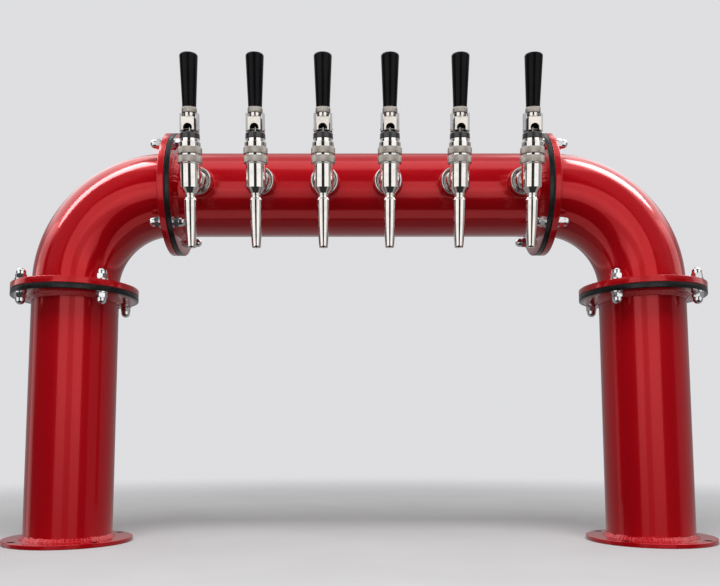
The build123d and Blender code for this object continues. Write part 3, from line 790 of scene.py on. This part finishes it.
# ------------------------------------------------------------------ floor, studio, camera
def stage_mesh(name, verts, faces, mat):
    me = bpy.data.meshes.new(name)
    me.from_pydata(verts, [], faces)
    o = bpy.data.objects.new(name, me)
    scene.collection.objects.link(o)
    me.materials.append(mat)
    return o


def floor_material():
    m = bpy.data.materials.new("floor_pale")
    m.use_nodes = True
    nt = m.node_tree
    nt.nodes.clear()
    out = nt.nodes.new("ShaderNodeOutputMaterial")
    diff = nt.nodes.new("ShaderNodeBsdfDiffuse")
    v = coords(nt)
    tone = ramp(nt, noise_tex(nt, v, 6.0, 3.0, 0.5), [(0.3, (0.66, 0.66, 0.67)), (0.7, (0.69, 0.69, 0.70))])
    nt.links.new(tone, diff.inputs["Color"])
    clear = nt.nodes.new("ShaderNodeBsdfTransparent")
    mix = nt.nodes.new("ShaderNodeMixShader")
    length = node(nt, "ShaderNodeVectorMath", operation="LENGTH")
    nt.links.new(v, length.inputs[0])
    nt.links.new(remap(nt, length.outputs["Value"], 0.55, 1.9, smooth=True), mix.inputs[0])
    nt.links.new(diff.outputs[0], mix.inputs[1])
    nt.links.new(clear.outputs[0], mix.inputs[2])
    path = nt.nodes.new("ShaderNodeLightPath")
    dim = nt.nodes.new("ShaderNodeBsdfDiffuse")
    dim.inputs["Color"].default_value = (0.20, 0.20, 0.20, 1)
    seen = nt.nodes.new("ShaderNodeMixShader")
    nt.links.new(path.outputs["Is Camera Ray"], seen.inputs[0])
    nt.links.new(dim.outputs[0], seen.inputs[1])
    nt.links.new(mix.outputs[0], seen.inputs[2])
    nt.links.new(seen.outputs[0], out.inputs["Surface"])
    return m


floor = stage_mesh("studio_floor", [(-4, -4, 0), (4, -4, 0), (4, 4, 0), (-4, 4, 0)], [(0, 1, 2, 3)], floor_material())
floor.visible_glossy = False


def painted_hole_shade_discs():
    """Near-black discs on the floor under the open bolt holes of the base plates: painted shade in the holes, in place
    of a dark counter.
    """
    verts, faces = [], []
    for s in (-1, 1):
        for k in range(4):
            a = math.radians(45 + 90 * k)
            cx, cy = s * column_x + base_hole_r * math.cos(a), base_hole_r * math.sin(a)
            at = len(verts)
            verts += [((cx + 5.6 * math.cos(2 * math.pi * j / 24)) * MM, (cy + 5.6 * math.sin(2 * math.pi * j / 24)) * MM, 0.0004) for j in range(24)]
            faces.append(list(range(at, at + 24)))
    m = bpy.data.materials.new("painted_shade_under_plates")
    m.use_nodes = True
    m.node_tree.nodes.clear()
    out = m.node_tree.nodes.new("ShaderNodeOutputMaterial")
    d = m.node_tree.nodes.new("ShaderNodeBsdfDiffuse")
    # near-black: painted shade seen through the bolt holes
    d.inputs["Color"].default_value = (0.004, 0.004, 0.004, 1)
    m.node_tree.links.new(d.outputs[0], out.inputs["Surface"])
    return stage_mesh("painted_shade_under_base_holes", verts, faces, m)


painted_hole_shade_discs()


def emission(name, strength, fade=None):
    """fade = (height, height, share) weakens the card below the second height, down to that share at the first."""
    m = bpy.data.materials.new(name)
    m.use_nodes = True
    nt = m.node_tree
    nt.nodes.clear()
    out = nt.nodes.new("ShaderNodeOutputMaterial")
    e = nt.nodes.new("ShaderNodeEmission")
    e.inputs["Color"].default_value = (1.0, 0.99, 0.97, 1)
    e.inputs["Strength"].default_value = strength
    if fade:
        geo = nt.nodes.new("ShaderNodeNewGeometry")
        sep = nt.nodes.new("ShaderNodeSeparateXYZ")
        nt.links.new(geo.outputs["Position"], sep.inputs[0])
        nt.links.new(remap(nt, sep.outputs["Z"], fade[0], fade[1], strength * fade[2], strength, smooth=True), e.inputs["Strength"])
    clear = nt.nodes.new("ShaderNodeBsdfTransparent")
    both = nt.nodes.new("ShaderNodeAddShader")
    nt.links.new(e.outputs[0], both.inputs[0])
    nt.links.new(clear.outputs[0], both.inputs[1])
    nt.links.new(both.outputs[0], out.inputs["Surface"])
    return m


def card(name, x0, x1, y0, y1, z0, z1, strength, fade=None):
    o = stage_mesh(name, [(x0, y0, z0), (x1, y1, z0), (x1, y1, z1), (x0, y0, z1)], [(0, 1, 2, 3)], emission(name, strength, fade))
    o.visible_camera = False
    o.visible_shadow = False
    o.visible_diffuse = False
    return o


def linked(name, objects):
    c = bpy.data.collections.new(name)
    scene.collection.children.link(c)
    for o in objects:
        c.objects.link(o)
    return c


pieces = [o for o in scene.objects if o.type == "MESH" and o is not floor and o.data.materials]
bright_metal = (M_CHROME, M_CHROME_SHANK, M_DISC_SHADE, M_STEM_LIT, M_KNURL, M_ZINC, M_BLOCK, M_BEARING, M_HANDLE)
chrome_seen = linked("chrome_seen", [o for o in pieces if o.data.materials[0] in bright_metal])
paint_seen = linked("paint_seen", [o for o in pieces if o.data.materials[0] not in bright_metal])
satin_seen = linked("satin_seen", [o for o in pieces if o.data.materials[0] in (M_KNURL, M_BLOCK) or o.name.startswith("valve_stem")])
arch_seen = linked("arch_seen", [o for o in pieces if o.name.startswith(("header_pipe", "left_elbow", "right_elbow", "left_header_ring", "right_header_ring", "boss_stubs", "flange_welds"))])

elbow_seen = linked("elbow_seen", [o for o in pieces if o.name.startswith(("left_elbow", "right_elbow"))])

# panels that only the paint mirrors
for args in (("soft_left", -0.98, -0.30, -1.58, -1.62, -0.25, 1.05, 1.35), ("soft_mid", -0.30, 0.15, -1.62, -1.62, -0.25, 1.05, 0.65),
             ("soft_right", 0.15, 0.98, -1.62, -1.58, -0.25, 1.05, 1.35)):
    card(*args, fade=(-0.22, 0.42, 0.42)).light_linking.receiver_collection = paint_seen
band = card("soft_low", -1.3, 1.3, -1.66, -1.66, -0.22, 0.53, 0.35)
band.light_linking.receiver_collection = arch_seen
card("side_left", -2.5, -2.5, 0.08, 0.75, -0.4, 1.0, 0.55).light_linking.receiver_collection = paint_seen
# high side lights whose reflection runs along the outside of each elbow
low_band = ((-2, 80, 112), (10, 79, 110), (20, 76, 106), (30, 72, 96))
for s_, part, level, strip in ((-1, "light", 14.0, ((28, 69, 73), (33, 65, 76), (40, 62, 78), (47, 60, 79), (53, 56, 81), (60, 52, 84), (66, 48, 91), (70, 44, 97))),
                               (1, "light", 12.0, ((35, 84, 90), (38, 81, 95), (43, 77, 101), (48, 74, 104), (54, 73, 108), (60, 73, 112), (66, 73, 116), (70, 74, 120))),
                               (-1, "low_light", 1.15, low_band), (1, "low_light", 1.0, low_band)):
    verts = []
    for el, a0, a1 in strip:
        for a in (a0, a1):
            out_, up = 3.0 * math.cos(math.radians(el)), 3.0 * math.sin(math.radians(el))
            verts.append((s_ * (0.33 + out_ * math.sin(math.radians(a))), -out_ * math.cos(math.radians(a)), 0.5 + up))
    faces = [(2 * k, 2 * k + 2, 2 * k + 3, 2 * k + 1) for k in range(len(strip) - 1)]
    o = stage_mesh("elbow_%s_%s" % (part, "left" if s_ < 0 else "right"), verts, faces, emission("elbow_%s_%d" % (part, s_ + 1), level))
    o.visible_camera = False
    o.visible_shadow = False
    o.visible_diffuse = False
    o.light_linking.receiver_collection = elbow_seen
for nm, y0, y1, level in (("tray_front", -0.315, -0.085, 0.75), ("tray_behind", 0.17, 3.5, 0.18)):
    o = stage_mesh(nm, [(-2.5, y0, 0.0015), (2.5, y0, 0.0015), (2.5, y1, 0.0015), (-2.5, y1, 0.0015)], [(0, 1, 2, 3)], emission(nm, level))
    o.visible_camera = False
    o.visible_shadow = False
    o.visible_diffuse = False
    o.light_linking.receiver_collection = arch_seen

# key from above and in front, which only lights and isn't mirrored
key = bpy.data.lights.new("key", "AREA")
key.shape = "RECTANGLE"
key.size, key.size_y = 1.9, 0.8
key.energy = 25.0
ko = bpy.data.objects.new("key", key)
scene.collection.objects.link(ko)
ko.location = (0.0, -0.95, 1.75)
ko.rotation_euler = (Vector((0, 0, 0.35)) - ko.location).to_track_quat("-Z", "Y").to_euler()
ko.visible_glossy = False
ko.visible_camera = False
front = bpy.data.lights.new("front", "AREA")
front.shape = "RECTANGLE"
front.size, front.size_y = 1.9, 0.5
front.energy = 5.5
fo = bpy.data.objects.new("front", front)
scene.collection.objects.link(fo)
fo.location = (0.0, -1.5, 0.75)
fo.rotation_euler = (Vector((0, 0, 0.36)) - fo.location).to_track_quat("-Z", "Y").to_euler()
fo.visible_glossy = False
fo.visible_camera = False

world = bpy.data.worlds.new("studio")
scene.world = world
world.use_nodes = True
nt = world.node_tree
nt.nodes.clear()
wout = nt.nodes.new("ShaderNodeOutputWorld")
tc = nt.nodes.new("ShaderNodeTexCoord")
sep = nt.nodes.new("ShaderNodeSeparateXYZ")
nt.links.new(tc.outputs["Generated"], sep.inputs[0])
side = math_node(nt, "MULTIPLY", math_node(nt, "ARCTAN2", sep.outputs["X"], math_node(nt, "MULTIPLY", sep.outputs["Y"], -1.0)), 180 / math.pi)
az = math_node(nt, "ABSOLUTE", side)
el = math_node(nt, "MULTIPLY", math_node(nt, "ARCSINE", sep.outputs["Z"]), 180 / math.pi)


def zone(a0, a1, e0, e1, level, soft_a=6.0, soft_e=6.0, az=az):
    m = math_node(nt, "MULTIPLY", remap(nt, az, a0 - soft_a, a0, 0, 1, True), remap(nt, az, a1, a1 + soft_a, 1, 0, True))
    k = math_node(nt, "MULTIPLY", remap(nt, el, e0 - soft_e, e0, 0, 1, True), remap(nt, el, e1, e1 + soft_e, 1, 0, True))
    return math_node(nt, "MULTIPLY", math_node(nt, "MULTIPLY", m, k), level)


total = zone(72, 150, 32, 60, 1.7, 12, 10)
for z in (zone(-10, 90, 62, 95, 1.35, 5, 10), zone(100, 190, 62, 95, 0.45, 10, 10), zone(64, 190, -8, 24, 0.28, 4, 6, side), zone(-190, -106, -8, 24, 0.28, 5, 6, side), zone(30, 60, 16, 60, 0.35, 10, 6),
          zone(155, 190, 16, 60, 0.35, 10, 6), zone(78, 190, -95, -9, 0.25, 10, 4)):
    total = math_node(nt, "ADD", total, z)
total = math_node(nt, "ADD", total, 0.03)
soft = nt.nodes.new("ShaderNodeBackground")
soft.inputs["Color"].default_value = (0.98, 0.985, 1.0, 1.0)
nt.links.new(total, soft.inputs["Strength"])
fill = nt.nodes.new("ShaderNodeBackground")
fill.inputs["Color"].default_value = (1.0, 1.0, 1.0, 1.0)
nt.links.new(remap(nt, el, -30, 60, 0.16, 0.42, True), fill.inputs["Strength"])
plain = nt.nodes.new("ShaderNodeBackground")
plain.inputs["Color"].default_value = (0.735, 0.735, 0.755, 1.0)
plain.inputs["Strength"].default_value = 1.0
lp = nt.nodes.new("ShaderNodeLightPath")
wm = nt.nodes.new("ShaderNodeMixShader")
sg = nt.nodes.new("ShaderNodeMixShader")
nt.links.new(lp.outputs["Is Glossy Ray"], sg.inputs[0])
nt.links.new(fill.outputs[0], sg.inputs[1])
nt.links.new(soft.outputs[0], sg.inputs[2])
nt.links.new(lp.outputs["Is Camera Ray"], wm.inputs[0])
nt.links.new(sg.outputs[0], wm.inputs[1])
nt.links.new(plain.outputs[0], wm.inputs[2])
nt.links.new(wm.outputs[0], wout.inputs["Surface"])

# wide panels that only the bright metal mirrors
card("panel_mid", -1.42, 1.36, -5.0, -5.0, -0.45, 3.6, 0.90).light_linking.receiver_collection = satin_seen
for name, x0, x1, y0, y1 in (("panel_left", -4.9, -1.42, -1.75, -5.0), ("panel_right", 1.36, 4.2, -5.0, -2.15)):
    p = card(name, x0, x1, y0, y1, -2.3, 3.6, 1.06)
    p.light_linking.receiver_collection = chrome_seen
cam_data = bpy.data.cameras.new("camera")
cam_obj = bpy.data.objects.new("camera", cam_data)
scene.collection.objects.link(cam_obj)
scene.camera = cam_obj
yaw, pitch, roll = 0.0042, 0.0911, -0.0018
fwd = Vector((math.sin(yaw) * math.cos(pitch), math.cos(yaw) * math.cos(pitch), math.sin(pitch)))
right_v = Vector((math.cos(yaw), -math.sin(yaw), 0.0))
up_v = right_v.cross(fwd)
rv = right_v * math.cos(roll) + up_v * math.sin(roll)
uv = -right_v * math.sin(roll) + up_v * math.cos(roll)
rot_m = Matrix((rv, uv, -fwd)).transposed()
cam_obj.matrix_world = Matrix.Translation((-0.01107, -1.0315, 0.13507)) @ rot_m.to_4x4()
cam_data.sensor_width = 36.0
cam_data.lens = 751.45 * 36.0 / 720.0
cam_data.shift_x = (360.0 - 354.5) / 720.0
cam_data.shift_y = (371.8 - 293.0) / 720.0
cam_data.clip_start, cam_data.clip_end = 0.02, 60.0
cam_data.dof.use_dof = False

scene.view_settings.view_transform = "Standard"
scene.view_settings.look = "None"
scene.view_settings.exposure = 0.0
scene.view_settings.gamma = 1.0
